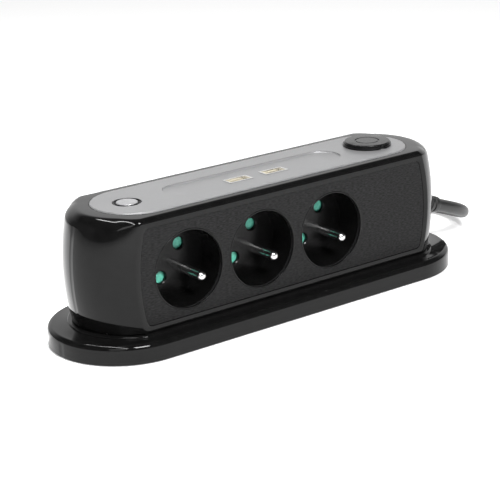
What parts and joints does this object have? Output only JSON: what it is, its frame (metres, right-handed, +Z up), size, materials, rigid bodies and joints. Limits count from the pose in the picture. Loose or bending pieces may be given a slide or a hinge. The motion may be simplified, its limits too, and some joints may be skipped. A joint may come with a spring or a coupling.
{
  "type": "desk power strip",
  "caption": "Desk-top power strip on an oval plinth with a row of earthed sockets in front, USB charging ports, a ring push button and a round switch knob on top, and a coiled cord.",
  "frame": {"origin": "middle of the plinth's footprint, on the surface the feet stand on", "axes": "+X along the strip towards the cord, -Y out of the sockets, +Z up"},
  "size_m": [0.2956, 0.1715, 0.0714],
  "materials": {
    "gloss_black": "polished black",
    "satin_black": "plain moulded black",
    "charcoal_panel": "fine brushed charcoal grey",
    "socket_black": "satin black",
    "shutter_green": "pale mint green",
    "silver_panel": "satin silver",
    "silver_button": "satin silver",
    "smoke_ring": "smoked, slightly translucent",
    "knob_black": "satin top, polished side",
    "bright_metal": "bright nickel plate",
    "contact_brass": "plain strip",
    "spring_steel": "drawn wire",
    "screw_steel": "zinc plated",
    "usb_tongue": "cream",
    "circuit_board": "lacquered board",
    "charger_parts": "taped windings and sleeves",
    "wire_sheath": "flexible sheath",
    "foot_rubber": "matt",
    "cord_black": "satin flexible sheath",
    "tie_black": "plain band",
    "plug_black": "satin moulded"
  },
  "bodies": {
    "housing": {"body_shell": "gloss_black", "base_cover": "gloss_black", "bottom_plate": "satin_black", "rubber_feet": "foot_rubber", "base_screws": "screw_steel", "body_screws": "screw_steel", "front_panel": "charcoal_panel", "top_panel": "silver_panel", "usb_shell_1": "bright_metal", "usb_shell_2": "bright_metal", "usb_tongue_1": "usb_tongue", "usb_tongue_2": "usb_tongue", "usb_board": "circuit_board", "charger_parts": "charger_parts", "light_ring": "smoke_ring", "button_well": "satin_black", "button_spring": "spring_steel", "button_switch": "satin_black", "rotary_switch": "satin_black", "cord_clamp": "satin_black", "inner_wires": "wire_sheath", "live_rail": "contact_brass", "neutral_rail": "contact_brass", "earth_rail": "contact_brass", "strain_relief": "cord_black", "cord_lead": "cord_black", "cord_coil": "cord_black", "cord_tail": "cord_black", "coil_tie": "tie_black", "plug_body": "plug_black", "plug_pins": "bright_metal", "socket_cup_1": "socket_black", "socket_back_1": "socket_black", "shutter_spring_1": "spring_steel", "earth_pin_1": "bright_metal", "socket_cup_2": "socket_black", "socket_back_2": "socket_black", "shutter_spring_2": "spring_steel", "earth_pin_2": "bright_metal", "socket_cup_3": "socket_black", "socket_back_3": "socket_black", "shutter_spring_3": "spring_steel", "earth_pin_3": "bright_metal"},
    "ring_button": {"ring_button": "silver_button"},
    "knob": {"switch_knob": "knob_black", "knob_shaft": "satin_black"},
    "shutter_a": {"shutter_1": "shutter_green"},
    "shutter_b": {"shutter_2": "shutter_green"},
    "shutter_c": {"shutter_3": "shutter_green"}
  },
  "joints": [
    {"name": "ring_button_press", "type": "slide", "parent": "housing", "child": "ring_button", "axis": [0, 0, -1], "range_m": [0, 0.0015], "stiffness_N_per_m": 400, "springref_m": -0.002, "deforming": ["button_spring"]},
    {"name": "knob_turn", "type": "hinge", "parent": "housing", "child": "knob", "pos_m": [0.0755, 0, 0.07], "axis": [0, 0, -1], "range_deg": [0, 90]},
    {"name": "shutter_turn_1", "type": "hinge", "parent": "housing", "child": "shutter_a", "pos_m": [-0.0624, -0.0084, 0.03815], "axis": [0, -1, 0], "range_deg": [0, 45], "stiffness_Nm_per_rad": 0.003, "springref_deg": -17.19},
    {"name": "shutter_turn_2", "type": "hinge", "parent": "housing", "child": "shutter_b", "pos_m": [-0.0179, -0.0084, 0.03815], "axis": [0, -1, 0], "range_deg": [0, 45], "stiffness_Nm_per_rad": 0.003, "springref_deg": -17.19},
    {"name": "shutter_turn_3", "type": "hinge", "parent": "housing", "child": "shutter_c", "pos_m": [0.0266, -0.0084, 0.03815], "axis": [0, -1, 0], "range_deg": [0, 45], "stiffness_Nm_per_rad": 0.003, "springref_deg": -17.19}
  ]
}
